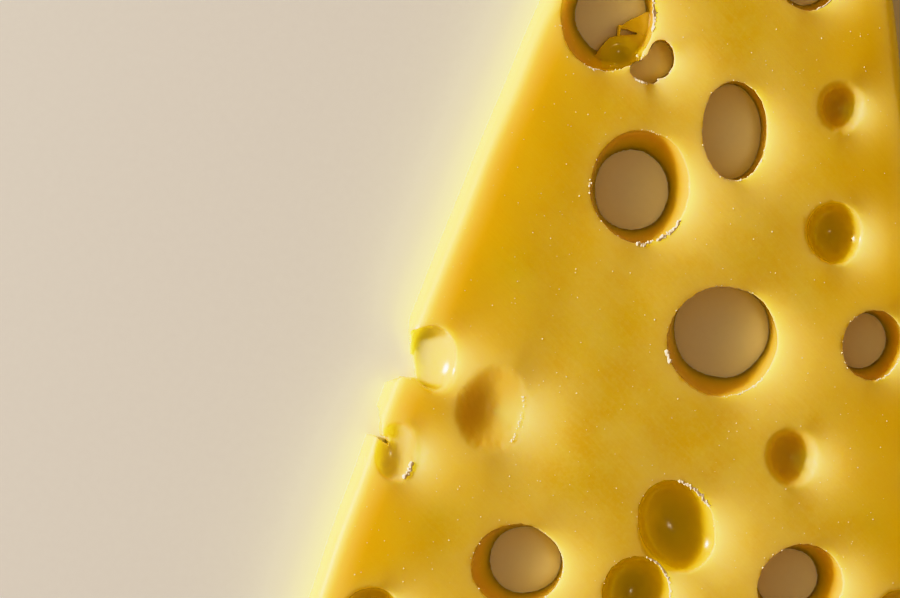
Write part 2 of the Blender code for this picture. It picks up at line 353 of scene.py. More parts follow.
@dataclass(frozen=True)
class SliceForm:
    """The slice as a field of distances in mm: negative inside, positive outside."""

    thickness: float = (CAD_BOX[1].z - CAD_BOX[0].z) / MM
    length: float = (CAD_BOX[1].y - CAD_BOX[0].y) / MM
    tip_angle: float = math.radians(30)
    tip_loss: float = 2.99
    side_bow: float = 4.0
    cut_inset: float = 0.57
    cut_skew: float = 0.28
    tip_rounding: float = 3.4
    corner_rounding: float = 1.6
    top_rounding: float = 1.45
    bottom_rounding: float = 0.20
    top_swell: Undulation = Undulation(34.0, 0.045, 11, flat=True)
    top_ripple: Undulation = Undulation(9.0, 0.016, 12, flat=True)
    bottom_ripple: Undulation = Undulation(9.0, 0.014, 17, flat=True)
    bottom_rise: float = 0.03
    side_wave: Undulation = Undulation(11.0, 0.05, 13)
    wall_wave: Undulation = Undulation(7.0, 0.055, 14)
    nicks: Undulation = Undulation(0.95, 0.11, 15, waves=16)
    nick_depth: float = 0.55
    drag_angle: float = math.radians(-38)
    edge_sag: float = 0.58
    edge_reach: float = 3.8
    eye_sag: float = 0.80
    eye_reach: float = 4.4
    # How far the painted glow round the eyes reaches.
    painted_glow_reach: float = 2.2
    eye_limit: float = 11.0
    far_power: float = 1.5
    lowest_middle: float = 1.2
    top_drop: float = 0.02
    nick_share: float = 0.5
    nick_bulge: float = 0.02
    sag_side: float = math.radians(-8)
    skin_depth: float = 1.4

    @property
    def wheel_radius(self) -> float:
        """From the wheel's middle to its rim."""
        return self.length + self.tip_loss

    @property
    def wheel_middle(self) -> Array:
        """The point that the two long sides run to."""
        return np.array([0.0, self.length / 2 + self.tip_loss])

    def side(self, plan: Array, hand: int) -> Array:
        """The distance beyond one long side of the bottom face.

        It is the distance from the straight side, less the bulge 4 b s (1 - s), with s the share of
        the side's length and b the bulge at its middle.

        Args:
            plan: n by 2 places in mm.
            hand: -1 for the left side, 1 for the right one.

        Returns:
            n distances in mm.
        """
        half = self.tip_angle / 2
        along = np.array([hand * math.sin(half), -math.cos(half)])
        outward = np.array([hand * math.cos(half), math.sin(half)])
        offset = plan - self.wheel_middle
        s = np.clip(offset @ along / self.wheel_radius, 0.0, 1.0)
        return offset @ outward - 4 * self.side_bow * s * (1 - s)

    def outline(self, plan: Array) -> Array:
        """The distance beyond the bottom face's outline: both sides and the rind's arc, rounded."""
        sides = rounded_max(self.side(plan, -1), self.side(plan, 1), self.tip_rounding)
        rind = np.linalg.norm(plan - self.wheel_middle, axis=1) - self.wheel_radius
        return rounded_max(sides, rind, self.corner_rounding)

    def sag(self, points: Array) -> Array:
        """How far the top face sinks towards the outline and towards the eyes' far sides.

        Each sag falls off with e to the power of minus the distance over its reach.

        Args:
            points: n by 3 places in mm, of which the height isn't used.

        Returns:
            n depths in mm.
        """
        edge = np.maximum(-self.outline(points[:, :2]), 0.0)
        _, far_side = self.around_eyes(points)
        return self.edge_sag * np.exp(-edge / self.edge_reach) + self.eye_sag * far_side

    def around_eyes(self, points: Array) -> tuple[Array, Array]:
        """How close each place of the top face is to the eyes: all round, and on their far sides.

        Each closeness is 1 at a rim and falls off with e to the power of minus the distance over
        its reach, eased to 0 at eye_limit. The far side's is also multiplied by the cosine of the
        angle from sag_side, to far_power. Eyes that overlap count as their fourth powers' sum, and
        those whose middle is under lowest_middle, which don't reach the top face, don't count.

        Args:
            points: n by 3 places in mm, of which the height isn't used.

        Returns:
            n values each.
        """
        all_round = np.zeros(len(points))
        far_side = np.zeros(len(points))
        level = points.copy()
        level[:, 2] = self.thickness
        for eye in EYES.values():
            if eye.middle < self.lowest_middle:
                continue
            close = np.flatnonzero(self.near(eye, points, self.eye_limit))
            if close.size:
                spot = level[close]
                away = np.maximum(eye.distance(spot, self.thickness), 0.0)
                ease = np.maximum(1.0 - away / self.eye_limit, 0.0)
                facing = np.maximum(np.cos(eye.azimuth(spot) - self.sag_side), 0.0)
                facing **= self.far_power
                all_round[close] += (ease * np.exp(-away / self.painted_glow_reach)) ** 4
                far_side[close] += (ease * facing * np.exp(-away / self.eye_reach)) ** 4
        return all_round**0.25, far_side**0.25

    def top(self, points: Array) -> Array:
        """The height of the top face: a low swell and ripples on a flat that sags at its edges."""
        waves = self.top_swell(points) + self.top_ripple(points)
        return self.thickness + waves - self.top_drop - self.sag(points)

    def bottom(self, points: Array) -> Array:
        """The height of the underside, which rests on its ripples' lowest parts."""
        return self.bottom_rise + self.bottom_ripple(points)

    def cut_side(self, points: Array) -> Array:
        """The distance beyond the sides, which lean in and to the right on their way up."""
        share = points[:, 2] / self.thickness
        plan = points[:, :2] - np.stack((self.cut_skew * share, 0 * share), axis=1)
        return self.outline(plan) + self.cut_inset * share + self.side_wave(points)

    def slab(self, points: Array) -> Array:
        """The distance to the slice before its eyes."""
        side = self.cut_side(points)
        height = np.full(len(points), self.thickness)
        high = points[:, 2] > self.thickness - self.skin_depth
        height[high] = self.top(points[high])
        topped = rounded_max(side, points[:, 2] - height, self.top_rounding)
        floor = np.zeros(len(points))
        low = points[:, 2] < self.skin_depth
        floor[low] = self.bottom(points[low])
        return rounded_max(topped, floor - points[:, 2], self.bottom_rounding)

    def nicked(self, eye: Eye, points: Array) -> Array:
        """How far the knife tore the eye's mouth wider, on the side it dragged towards."""
        share = np.maximum(np.cos(eye.azimuth(points) - self.drag_angle), 0.0) ** 2
        near = np.exp(-np.maximum(self.thickness - points[:, 2], 0.0) / self.nick_depth)
        return np.maximum(self.nicks(points), -self.nick_bulge) * (self.nick_share + share) * near

    def bubble(self, eye: Eye, points: Array) -> Array:
        """The distance to one eye's uneven wall, positive outside the bubble."""
        even = eye.distance(points, self.thickness)
        return even - self.wall_wave(points) - self.nicked(eye, points)

    def near(self, eye: Eye, points: Array, margin: float = 0.0) -> Array:
        """Which points an eye can change, and those within a margin of them."""
        reach = eye.reach() + margin
        middle = (eye.x + eye.lean_x / 2, eye.y + eye.lean_y / 2)
        return (np.abs(points[:, 0] - middle[0]) < reach) & (
            np.abs(points[:, 1] - middle[1]) < reach
        )

    def __call__(self, points: Array) -> Array:
        """The distance to the slice's skin: the slab, less each bubble with its rim's rounding.

        Args:
            points: n by 3 places in mm.

        Returns:
            n distances in mm, negative inside the cheese.
        """
        found = self.slab(points)
        for name, eye in EYES.items():
            close = np.flatnonzero(self.near(eye, points))
            if close.size:
                spot = points[close]
                bubble = self.bubble(eye, spot)
                if name in WEBS:
                    web = WEBS[name]
                    bubble = rounded_max(bubble, -web.distance(spot), web.rounding)
                found[close] = rounded_max(found[close], -bubble, eye.rim_radius(spot))
        for notch in NOTCHES:
            found = rounded_max(found, -notch.distance(points), Rim.CRISP.value)
        return found


@dataclass
class SkinMesher:
    """Turns a field of distances into a mesh that keeps creases sharp, by dual contouring."""

    form: SliceForm
    step: float = 0.30
    margin: float = 0.75
    nudge: float = 0.002
    pull: float = 0.05
    chunk: int = 400_000

    def nodes(self) -> tuple[Array, tuple[int, int, int]]:
        """The grid's lowest corner in mm, and how many nodes it has each way."""
        low = np.array(CAD_BOX[0]) / MM - self.margin
        high = np.array(CAD_BOX[1]) / MM + self.margin
        count = np.ceil((high - low) / self.step).astype(int) + 1
        return low, tuple(int(n) for n in count)

    def sample(self, points: Array) -> Array:
        """The field at many points, a chunk at a time to save memory."""
        parts = range(0, len(points), self.chunk)
        return np.concatenate([self.form(points[i : i + self.chunk]) for i in parts])

    def slopes(self, points: Array, base: Array) -> Array:
        """The field's unit gradient, from its rise over a small nudge along each axis."""
        rises = []
        for axis in range(3):
            moved = points.copy()
            moved[:, axis] += self.nudge
            rises.append(self.sample(moved) - base)
        slope = np.stack(rises, axis=1)
        return slope / np.maximum(np.linalg.norm(slope, axis=1, keepdims=True), 1e-12)

    def crossings(self, values: Array, low: Array) -> list[dict[str, Array]]:
        """Where the skin crosses the grid's edges, one entry for each axis.

        A crossing lies where the straight line between the two end values is zero.

        Args:
            values: the field on the grid.
            low: the grid's lowest corner in mm.

        Returns:
            For each axis, the edges' first nodes, the crossing places and whether each edge leaves
            the cheese.
        """
        found = []
        for axis in range(3):
            first = [slice(None)] * 3
            second = [slice(None)] * 3
            first[axis] = slice(0, -1)
            second[axis] = slice(1, None)
            a = values[tuple(first)]
            b = values[tuple(second)]
            cell = np.argwhere((a < 0) != (b < 0))
            va = a[tuple(cell.T)]
            vb = b[tuple(cell.T)]
            place = low + cell * self.step
            place[:, axis] += va / (va - vb) * self.step
            found.append({"cell": cell, "place": place, "leaves": va < 0})
        return found

    def mesh_arrays(self) -> tuple[Array, Array]:
        """The skin as corners in mm and four-sided faces.

        Each cell that the skin passes through gets one corner: the point that is nearest to all
        the tangent planes at the cell's crossings, pulled a little to their average. Each crossed
        edge joins the corners of the four cells around it.

        Returns:
            n by 3 places in mm, and m by 4 corner numbers.
        """
        low, count = self.nodes()
        axes = [low[k] + self.step * np.arange(count[k]) for k in range(3)]
        grid = np.stack(np.meshgrid(*axes, indexing="ij"), axis=-1).reshape(-1, 3)
        values = self.sample(grid).reshape(count)
        del grid
        found = self.crossings(values, low)
        strides = np.array([count[1] * count[2], count[2], 1])
        owners = []
        for axis, crossing in enumerate(found):
            one, two = [k for k in range(3) if k != axis]
            corners = []
            for back_one, back_two in ((1, 1), (0, 1), (0, 0), (1, 0)):
                cell = crossing["cell"].copy()
                cell[:, one] -= back_one
                cell[:, two] -= back_two
                corners.append(cell @ strides)
            owners.append(np.stack(corners, axis=1))
        ids, inverse = np.unique(np.concatenate(owners), return_inverse=True)
        inverse = inverse.reshape(-1, 4)
        places = np.concatenate([c["place"] for c in found])
        corners = self.solve(ids, inverse, places, low, strides)
        faces = []
        start = 0
        for axis, crossing in enumerate(found):
            quads = inverse[start : start + len(crossing["cell"])].copy()
            start += len(quads)
            flip = crossing["leaves"] == (axis == 1)
            quads[flip] = quads[flip][:, ::-1]
            faces.append(quads)
        return corners, np.concatenate(faces)

    def solve(self, ids: Array, owner: Array, places: Array, low: Array, strides: Array) -> Array:
        """Each cell's corner, from the tangent planes at its crossings.

        Args:
            ids: the cells' numbers in the grid.
            owner: for each crossing, the four cells around it.
            places: the crossings.
            low: the grid's lowest corner.
            strides: how a cell's number is made from its place in the grid.

        Returns:
            n by 3 places in mm.
        """
        slopes = self.slopes(places, self.sample(places))
        flat = owner.ravel()
        many = len(ids)

        def total(weights: Array) -> Array:
            """Adds up a value of each crossing over the cells that share it."""
            return np.bincount(flat, np.repeat(weights, 4), many)

        number = total(np.ones(len(places)))
        middle = np.stack([total(places[:, k]) for k in range(3)], axis=1) / number[:, None]
        matrix = np.empty((many, 3, 3))
        for i in range(3):
            for j in range(i, 3):
                matrix[:, i, j] = matrix[:, j, i] = total(slopes[:, i] * slopes[:, j])
        along = np.einsum("ij,ij->i", slopes, places)
        right = np.stack([total(slopes[:, k] * along) for k in range(3)], axis=1)
        right -= np.einsum("nij,nj->ni", matrix, middle)
        matrix += self.pull * np.eye(3)
        corner = middle + np.linalg.solve(matrix, right[..., None])[..., 0]
        layer, row = ids // strides[0], ids % strides[0]
        base = low + np.stack((layer, row // strides[1], row % strides[1]), axis=1) * self.step
        return np.clip(corner, base, base + self.step)


def mesh_object(name: str, corners_mm: Array, faces: Array) -> bpy.types.Object:
    """A mesh object at the origin, from corners in mm and faces that all have the same sides."""
    mesh = bpy.data.meshes.new(name)
    sides = faces.shape[1]
    mesh.vertices.add(len(corners_mm))
    mesh.vertices.foreach_set("co", (corners_mm * MM).astype(np.float32).ravel())
    mesh.loops.add(faces.size)
    mesh.loops.foreach_set("vertex_index", faces.astype(np.int32).ravel())
    mesh.polygons.add(len(faces))
    mesh.polygons.foreach_set("loop_start", np.arange(0, faces.size, sides, dtype=np.int32))
    mesh.update(calc_edges=True)
    mesh.validate()
    obj = bpy.data.objects.new(name, mesh)
    bpy.context.scene.collection.objects.link(obj)
    return obj


def triangles_of(obj: bpy.types.Object) -> int:
    """How many triangles an object's faces come to."""
    return sum(len(p.vertices) - 2 for p in obj.data.polygons)


def thinned(obj: bpy.types.Object, triangles: int) -> None:
    """Merges the faces that add least to the shape until about so many triangles are left."""
    now = triangles_of(obj)
    if now <= triangles:
        return
    modifier = obj.modifiers.new("thin", "DECIMATE")
    modifier.ratio = triangles / now
    evaluated = obj.evaluated_get(bpy.context.evaluated_depsgraph_get())
    mesh = bpy.data.meshes.new_from_object(evaluated)
    obj.modifiers.clear()
    old = obj.data
    obj.data = mesh
    bpy.data.meshes.remove(old)
    mesh.name = obj.name


def shade(obj: bpy.types.Object, crease: float) -> None:
    """Smooth shading, with edges sharper than the crease angle left sharp."""
    obj.data.shade_smooth()
    obj.data.set_sharp_from_angle(angle=crease)


def corners_of(mesh: bpy.types.Mesh) -> Array:
    """A mesh's corners in mm."""
    flat = np.empty(len(mesh.vertices) * 3, np.float32)
    mesh.vertices.foreach_get("co", flat)
    return flat.reshape(-1, 3).astype(float) / MM


class Wiring:
    """Adds nodes to one node tree and links them."""

    def __init__(self, tree: bpy.types.NodeTree) -> None:
        """Keeps the tree."""
        self.tree = tree

    def add(self, kind: str, inputs: dict[str | int, object], **settings: object) -> bpy.types.Node:
        """Adds one node.

        Args:
            kind: the node's class in Blender.
            inputs: for each input socket, by name or number, a value or the socket that feeds it.
            settings: the node's own settings.

        Returns:
            The node.
        """
        node = self.tree.nodes.new(kind)
        for key, value in settings.items():
            setattr(node, key, value)
        self.feed(node, inputs)
        return node

    def feed(self, node: bpy.types.Node, inputs: dict[str | int, object]) -> None:
        """Sets a node's inputs, each to a value or to the socket that feeds it."""
        for key, value in inputs.items():
            if isinstance(value, bpy.types.NodeSocket):
                self.tree.links.new(value, node.inputs[key])
            else:
                node.inputs[key].default_value = value

    def scaled(self, where: object, factors: Colour) -> bpy.types.NodeSocket:
        """A vector with each part multiplied by its factor."""
        inputs = {0: where, 1: factors}
        return self.add("ShaderNodeVectorMath", inputs, operation="MULTIPLY").outputs[0]

    def noise(self, where: object, scale: float, detail: float = 2.0) -> bpy.types.NodeSocket:
        """A noise of about 0 to 1 that changes over 1 / scale of the coordinates' unit."""
        inputs = {"Vector": where, "Scale": scale, "Detail": detail, "Roughness": 0.55}
        return self.add("ShaderNodeTexNoise", inputs).outputs[0]

    def remap(
        self, value: object, low: float, high: float, to_low: float, to_high: float
    ) -> bpy.types.NodeSocket:
        """A value moved from one range to another, and held inside it."""
        inputs = {0: value, 1: low, 2: high, 3: to_low, 4: to_high}
        return self.add("ShaderNodeMapRange", inputs).outputs[0]

    def sum_of(self, a: object, b: object) -> bpy.types.NodeSocket:
        """Two values added."""
        return self.add("ShaderNodeMath", {0: a, 1: b}, operation="ADD").outputs[0]

    def product(self, a: object, b: object) -> bpy.types.NodeSocket:
        """Two values multiplied."""
        return self.add("ShaderNodeMath", {0: a, 1: b}, operation="MULTIPLY").outputs[0]

    def blend(self, share: object, a: object, b: object) -> bpy.types.NodeSocket:
        """Two colours mixed: the first at 0, the second at 1."""
        node = self.add("ShaderNodeMix", {0: share, 6: a, 7: b}, data_type="RGBA")
        return node.outputs[2]


class Paint(Wiring):
    """A material of one Principled shader, with the nodes that feed it."""

    def __init__(self, name: str) -> None:
        """Adds the material."""
        self.material = bpy.data.materials.new(name)
        self.material.use_nodes = True
        super().__init__(self.material.node_tree)
        self.shader = self.tree.nodes["Principled BSDF"]

    def shared(self, group: bpy.types.NodeTree, inputs: dict[str, object]) -> object:
        """Adds a shared node group and gives its outputs."""
        return self.add("ShaderNodeGroup", inputs, node_tree=group).outputs

    def mask(self, label: str) -> bpy.types.NodeSocket:
        """The value of one of the mesh's masks."""
        return self.add("ShaderNodeAttribute", {}, attribute_name=label).outputs["Fac"]

    def bump(self, height: object, distance_mm: float) -> bpy.types.NodeSocket:
        """The normal that a height gives."""
        inputs = {"Height": height, "Distance": distance_mm * MM}
        return self.add("ShaderNodeBump", inputs).outputs["Normal"]


def effect(name: str, inputs: dict[str, str], outputs: dict[str, str]) -> bpy.types.NodeTree:
    """An empty shader node group with named sockets.

    Args:
        name: the group's name.
        inputs: for each input, the end of its socket's class, such as Float.
        outputs: the same for the outputs.

    Returns:
        The group, with its group input and output nodes.
    """
    tree = bpy.data.node_groups.new(name, "ShaderNodeTree")
    for way, sockets in (("INPUT", inputs), ("OUTPUT", outputs)):
        for label, kind in sockets.items():
            tree.interface.new_socket(label, in_out=way, socket_type=f"NodeSocket{kind}")
    tree.nodes.new("NodeGroupInput").name = "in"
    tree.nodes.new("NodeGroupOutput").name = "out"
    return tree


class CheeseEffects:
    """The node groups that every cheese material shares. All but the first take a place in mm."""

    def __init__(self, drag_angle: float) -> None:
        """Builds the groups.

        Args:
            drag_angle: the direction in plan that the knife moved in, in radians.
        """
        self.drag_angle = drag_angle
        self.place = self.place_group()
        self.mottle = self.mottle_group()
        self.marks = self.marks_group()

    def place_group(self) -> bpy.types.NodeTree:
        """The place on the object in mm."""
        tree = effect("place_in_mm", {}, {"Place": "Vector"})
        wiring = Wiring(tree)
        here = wiring.add("ShaderNodeTexCoord", {}).outputs["Object"]
        wiring.feed(tree.nodes["out"], {"Place": wiring.scaled(here, (1 / MM, 1 / MM, 1 / MM))})
        return tree

    def mottle_group(self) -> bpy.types.NodeTree:
        """Soft patches a few mm wide, and the curd's fine grain."""
        outputs = {"Patches": "Float", "Warmth": "Float", "Grain": "Float"}
        tree = effect("curd_mottle", {"Place": "Vector"}, outputs)
        wiring = Wiring(tree)
        here = tree.nodes["in"].outputs["Place"]
        patches = wiring.remap(wiring.noise(here, 0.22, 3.0), 0.36, 0.64, 0.0, 1.0)
        moved = wiring.add("ShaderNodeVectorMath", {0: here, 1: (31.0, 17.0, 5.0)})
        warmth = wiring.remap(wiring.noise(moved.outputs[0], 0.09, 2.0), 0.38, 0.62, 0.0, 1.0)
        grain = wiring.noise(here, 1.6, 4.0)
        wiring.feed(tree.nodes["out"], {"Patches": patches, "Warmth": warmth, "Grain": grain})
        return tree

    def marks_group(self) -> bpy.types.NodeTree:
        """Faint streaks along the knife's way, as a height and as a mask."""
        outputs = {"Height": "Float", "Streaks": "Float"}
        tree = effect("knife_marks", {"Place": "Vector"}, outputs)
        wiring = Wiring(tree)
        here = tree.nodes["in"].outputs["Place"]
        turn = (0.0, 0.0, -self.drag_angle)
        along = wiring.add("ShaderNodeMapping", {"Vector": here, "Rotation": turn}).outputs[0]
        drawn = wiring.scaled(along, (0.045, 1.0, 0.3))
        fine = wiring.noise(drawn, 2.4, 3.0)
        broad = wiring.noise(drawn, 0.55, 1.0)
        height = wiring.sum_of(wiring.product(fine, 0.35), wiring.product(broad, 0.65))
        streaks = wiring.remap(fine, 0.45, 0.68, 0.0, 1.0)
        wiring.feed(tree.nodes["out"], {"Height": height, "Streaks": streaks})
        return tree


@dataclass(frozen=True)
class CheeseFinish:
    """Cut cheese: golden, translucent, satin where the knife went and glossy in the eyes."""

    name: str = "cheese"
    golden: Colour = (0.765, 0.645, 0.105)
    ochre: Colour = (0.755, 0.585, 0.055)
    straw: Colour = (0.80, 0.70, 0.21)
    amber: Colour = (0.80, 0.605, 0.008)
    # Painted light: a pale glow all round every eye, for the light that scatters out of the cheese
    # near their rims.
    painted_glow: Colour = (0.795, 0.68, 0.22)
    # Painted light: a pale halo on the eyes' sides away from the key, for the key's light that comes
    # out through the cheese beyond their lit walls.
    painted_halo: Colour = (0.97, 0.91, 0.45)
    # Painted light: the eyes' walls are paler and brighter than the cut faces, for the light on
    # their lit sides and to lift the shade in their hollows.
    wall: Colour = (0.98, 0.67, 0.11)
    # Painted light: the walls of the eyes that stop short are brighter and yellower still, for the
    # light that reaches them through the cheese.
    pit: Colour = (0.99, 0.755, 0.09)
    # Painted light: a cream glow in the pits near the slice's sides, for the light that comes
    # through the thin cheese there.
    thin: Colour = (1.0, 0.85, 0.46)
    # Painted light: the cream of the cut sides and of the top face next to them, for the light on
    # the sides and its glow through the cheese near them.
    side: Colour = (0.97, 0.85, 0.29)
    rind: Colour = (0.82, 0.58, 0.045)
    cut_roughness: float = 0.46
    wall_roughness: float = 0.20
    reach_mm: Colour = (4.2, 4.2, 1.1)
    wall_coat: float = 1.0
    bump_mm: float = 0.035
    coat_roughness: float = 0.16
    ior: float = 1.45
    pale_patches: float = 0.6
    pale_streaks: float = 0.22
    pale_curd: float = 0.45
    layers: tuple[str, ...] = ("amber", "painted_glow", "painted_halo", "rind", "wall", "pit", "thin", "side")

    def material(self, effects: CheeseEffects) -> bpy.types.Material:
        """The material, which lays a colour over the flats' own for each of the mesh's masks.

        Args:
            effects: the shared node groups.

        Returns:
            The material.
        """
        paint = Paint(self.name)
        place = paint.shared(effects.place, {})["Place"]
        mottle = paint.shared(effects.mottle, {"Place": place})
        marks = paint.shared(effects.marks, {"Place": place})
        straw = (*self.straw, 1)
        colour = paint.blend(mottle["Patches"], (*self.golden, 1), (*self.ochre, 1))
        paler = (
            paint.product(mottle["Warmth"], self.pale_patches),
            paint.product(marks["Streaks"], self.pale_streaks),
            paint.remap(mottle["Grain"], 0.45, 0.75, 0.0, self.pale_curd),
        )
        for share in paler:
            colour = paint.blend(share, colour, straw)
        # Most of these layers are painted light: the paler walls, pits and cut sides, and the glow
        # and halo round the eyes.
        for label in self.layers:
            colour = paint.blend(paint.mask(label), colour, (*getattr(self, label), 1))
        wall = paint.mask("wall")
        cut, smoother = self.cut_roughness, self.cut_roughness - 0.08
        satin = paint.remap(marks["Streaks"], 0.0, 1.0, cut, smoother)
        even, rougher = self.wall_roughness, self.wall_roughness + 0.08
        gloss = paint.remap(mottle["Grain"], 0.3, 0.7, even, rougher)
        both = paint.add("ShaderNodeMix", {0: wall, 2: satin, 3: gloss}, data_type="FLOAT")
        height = paint.sum_of(paint.product(mottle["Grain"], 0.5), marks["Height"])
        smooth = paint.remap(wall, 0.0, 1.0, 1.0, 0.25)
        looks = {
            "Base Color": colour,
            "Roughness": both.outputs[0],
            "Coat Weight": paint.product(wall, self.wall_coat),
            "Coat Roughness": self.coat_roughness,
            "Normal": paint.bump(paint.product(height, smooth), self.bump_mm),
            "IOR": self.ior,
            "Subsurface Weight": 1.0,
            "Subsurface Radius": self.reach_mm,
            "Subsurface Scale": MM,
        }
        paint.feed(paint.shader, looks)
        return paint.material


@dataclass(frozen=True)
class CrumbFinish:
    """Torn bits of cheese: paler and drier than the slice, and too small to glow inside. Their
    near-white, slightly cool colour also paints the key's light on them and takes the warm sky's
    tint out of their shaded sides.
    """

    name: str = "cheese_crumb"
    # Painted light: near white and slightly cool, for the key's light on the bits and against the
    # warm tint of their shade.
    pale: Colour = (0.97, 1.0, 1.0)
    warm: Colour = (0.97, 0.95, 0.78)
    roughness: float = 0.38
    bump_mm: float = 0.02

    def material(self, effects: CheeseEffects) -> bpy.types.Material:
        """The material, with the slice's grain."""
        paint = Paint(self.name)
        place = paint.shared(effects.place, {})["Place"]
        grain = paint.shared(effects.mottle, {"Place": place})["Grain"]
        looks = {
            "Base Color": paint.blend(grain, (*self.pale, 1), (*self.warm, 1)),
            "Roughness": paint.remap(grain, 0.3, 0.7, self.roughness - 0.06, self.roughness + 0.1),
            "Normal": paint.bump(grain, self.bump_mm),
        }
        paint.feed(paint.shader, looks)
        return paint.material


@dataclass(frozen=True)
class PaperFinish:
    """The floor's pale matt paper."""

    name: str = "floor_paper"
    colour: Colour = (0.78, 0.86, 0.93)
    roughness: float = 0.85
    sheen: float = 0.2

    def material(self) -> bpy.types.Material:
        """The material, with a barely visible fibre."""
        paint = Paint(self.name)
        here = paint.add("ShaderNodeTexCoord", {}).outputs["Object"]
        darker = tuple(0.97 * c for c in self.colour)
        colour = paint.blend(paint.noise(here, 900.0, 3.0), (*darker, 1), (*self.colour, 1))
        looks = {
            "Base Color": colour,
            "Roughness": self.roughness,
            "Specular IOR Level": self.sheen,
        }
        paint.feed(paint.shader, looks)
        return paint.material


def own(obj: bpy.types.Object, material: bpy.types.Material) -> None:
    """Gives a piece its material, ties it to the slice's body and hides the slice's CAD part."""
    obj.data.materials.append(material)
    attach(obj, BODY)
    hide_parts(NODE)
    log.info("%s: %d triangles", obj.name, triangles_of(obj))


@dataclass
class CheeseSlice:
    """The slice itself: its skin's mesh and the masks that its material reads."""

    form: SliceForm
    finish: CheeseFinish
    effects: CheeseEffects
    triangles: int = 190_000
    crease: float = math.radians(40)
    wall_depth: float = 0.30
    # How far in from the outline the painted light of the sides reaches.
    side_fade: float = 4.3
    rind_fade: float = 14.0
    rind_share: float = 0.6
    amber_fade: float = 13.0
    amber_share: float = 0.9
    # How strong the painted glow round the eyes is.
    painted_glow_share: float = 0.75
    # How wide the painted halo on the eyes' far sides spreads.
    painted_halo_power: float = 0.85
    pit_margin: float = 0.7
    # Where the painted glow in the pits near the sides starts and how it fades.
    thin_fade: float = 7.0
    thin_start: float = 1.5
    thin_share: float = 0.8
    soft_wall: float = 0.2

    def build(self) -> bpy.types.Object:
        """Meshes the skin and thins it to its triangles."""
        corners, faces = SkinMesher(self.form).mesh_arrays()
        obj = mesh_object("cheese_skin", corners, faces)
        thinned(obj, self.triangles)
        shade(obj, self.crease)
        return obj

    def dress(self, obj: bpy.types.Object) -> None:
        """Adds the masks and the material.

        The mask wall goes from 0 on the slab's own faces to 1 at a small depth below them, which
        only the walls of the eyes reach; its paler colour paints light into the eyes. The masks
        side and rind fall from 1 at the outline to 0 at their fade's distance inside it, and amber
        falls off as a bell curve; the cream of side paints light on the cut sides and near them.
        The two masks of closeness to the eyes, all round and on their far sides, paint a pale glow
        round every eye and a halo of light on its far side. The mask pit is the part of wall in the
        eyes that don't go right through, and its brighter colour paints light into them; thin is
        the part of pit near the slice's sides, which light comes through, and its cream paints that
        light. In the soft pits, wall is weaker.

        Args:
            obj: the slice's mesh object.
        """
        points = corners_of(obj.data)
        inside = -self.form.slab(points)
        edge = -self.form.cut_side(points)
        middle = self.form.wheel_middle
        rind = self.form.wheel_radius - np.linalg.norm(points[:, :2] - middle, axis=1)
        all_round, far_side = self.form.around_eyes(points)
        wall = np.clip(inside / self.wall_depth, 0.0, 1.0)
        wall *= 1.0 - (1.0 - self.soft_wall) * self.in_pits(points, (Rim.SOFT,))
        pit = wall * self.in_pits(points, tuple(Rim))
        near_side = self.thin_start - edge / self.thin_fade
        masks = {
            "amber": self.amber_share * np.exp(-((edge / self.amber_fade) ** 2)),
            # Painted light: a pale glow all round every eye.
            "painted_glow": self.painted_glow_share * np.clip(all_round, 0.0, 1.0),
            # Painted light: a halo on the eyes' sides away from the key.
            "painted_halo": np.clip(far_side, 0.0, 1.0) ** self.painted_halo_power,
            # The eyes' walls: glossy, and with a paler colour that paints light into them.
            "wall": wall,
            # Painted light: brighter walls in the eyes that stop short.
            "pit": pit,
            # Painted light: a cream glow in the pits near the slice's sides.
            "thin": self.thin_share * pit * np.clip(near_side, 0.0, 1.0),
            # Painted light: cream on the cut sides and the top face's edge.
            "side": np.clip(1.0 - edge / self.side_fade, 0.0, 1.0),
            "rind": self.rind_share * np.clip(1.0 - rind / self.rind_fade, 0.0, 1.0),
        }
        for label, values in masks.items():
            mask = obj.data.attributes.new(label, "FLOAT", "POINT")
            mask.data.foreach_set("value", values.astype(np.float32))
        own(obj, self.finish.material(self.effects))

    def in_pits(self, points: Array, rims: tuple[Rim, ...]) -> Array:
        """Which points lie on eyes with some rims that stop short of the far face: 1 there, or 0."""
        found = np.zeros(len(points))
        for eye in EYES.values():
            stops = eye.middle > eye.height / 2 or eye.middle < 0.0
            if stops and eye.rim in rims:
                away = eye.distance(points, self.form.thickness)
                found = np.maximum(found, np.abs(away) < self.pit_margin)
        return found


@dataclass(frozen=True)
class RimTracer:
    """Finds the real edge of an eye's mouth, which waves and nicks have moved."""

    form: SliceForm
    depth: float = 0.12
    steps: int = 70
    nearest: float = 0.45
    farthest: float = 1.45

    def trace(self, eye: Eye, angles: Array) -> Array:
        """Where rays from the mouth's middle first meet cheese, just below the top face.

        Args:
            eye: the eye.
            angles: the rays' directions, in radians from the slice's +X.

        Returns:
            n by 2 places in mm.
        """
        ring = eye.mouth(angles, self.form.thickness - self.depth, self.form.thickness)
        start = np.array([eye.x, eye.y])
        shares = np.linspace(self.nearest, self.farthest, self.steps)
        plan = start + (ring - start)[:, None, :] * shares[None, :, None]
        places = np.column_stack((plan.reshape(-1, 2), np.zeros(plan.size // 2)))
        places[:, 2] = self.form.top(places) - self.depth
        solid = (self.form(places) < 0).reshape(len(angles), self.steps)
        found = np.argmax(solid, axis=1)
        found[~solid.any(axis=1)] = int(np.argmin(np.abs(shares - 1.0)))
        return plan[np.arange(len(angles)), found]


